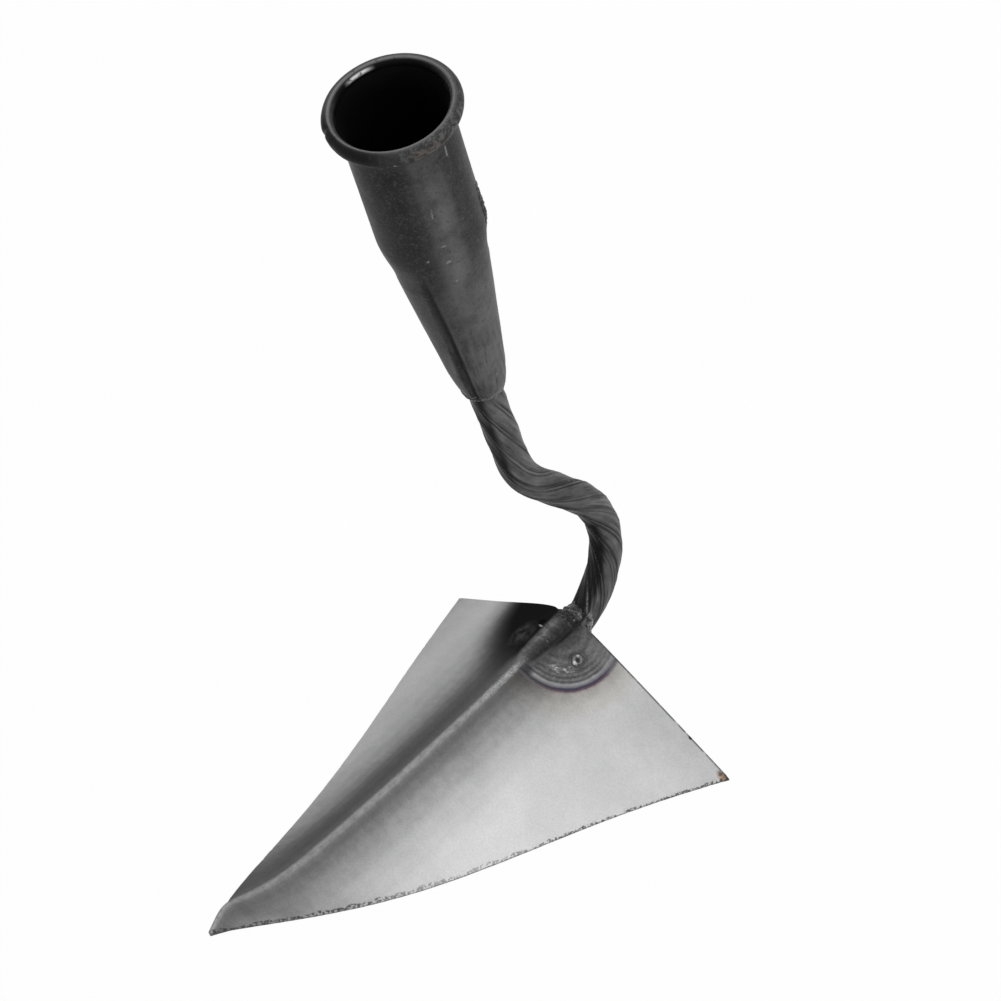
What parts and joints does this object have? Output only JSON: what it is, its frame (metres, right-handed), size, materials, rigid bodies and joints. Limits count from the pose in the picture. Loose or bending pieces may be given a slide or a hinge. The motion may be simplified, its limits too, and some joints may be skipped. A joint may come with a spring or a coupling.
{
  "type": "warren hoe head",
  "caption": "Warren hoe head with a folded arrowhead blade, a twisted gooseneck bar and a swaged steel socket with a rolled mouth for a wooden handle.",
  "frame": {"origin": "On the socket's axis, at the mouth where the straight bore begins, in the middle plane of the rolled bead", "axes": "+Z out of the socket's mouth towards the handle, +X towards the blade's tip, +Y across the blade"},
  "size_m": [0.1806, 0.1184, 0.2819],
  "materials": {
    "oxide_steel": "dark mill oxide, satin, scratched",
    "forged_steel": "dark forge scale, satin",
    "blade_steel": "fine ground steel with heat marks at the weld",
    "weld_bead": "rough weld metal"
  },
  "bodies": {
    "root": {"socket": "oxide_steel", "neck_bar": "forged_steel", "blade": "blade_steel", "nose_weld": "weld_bead", "seam_weld": "weld_bead", "crown_weld": "weld_bead", "left_toe_weld": "weld_bead", "right_toe_weld": "weld_bead", "left_under_weld": "weld_bead", "right_under_weld": "weld_bead", "spot_weld": "weld_bead"}
  },
  "joints": []
}
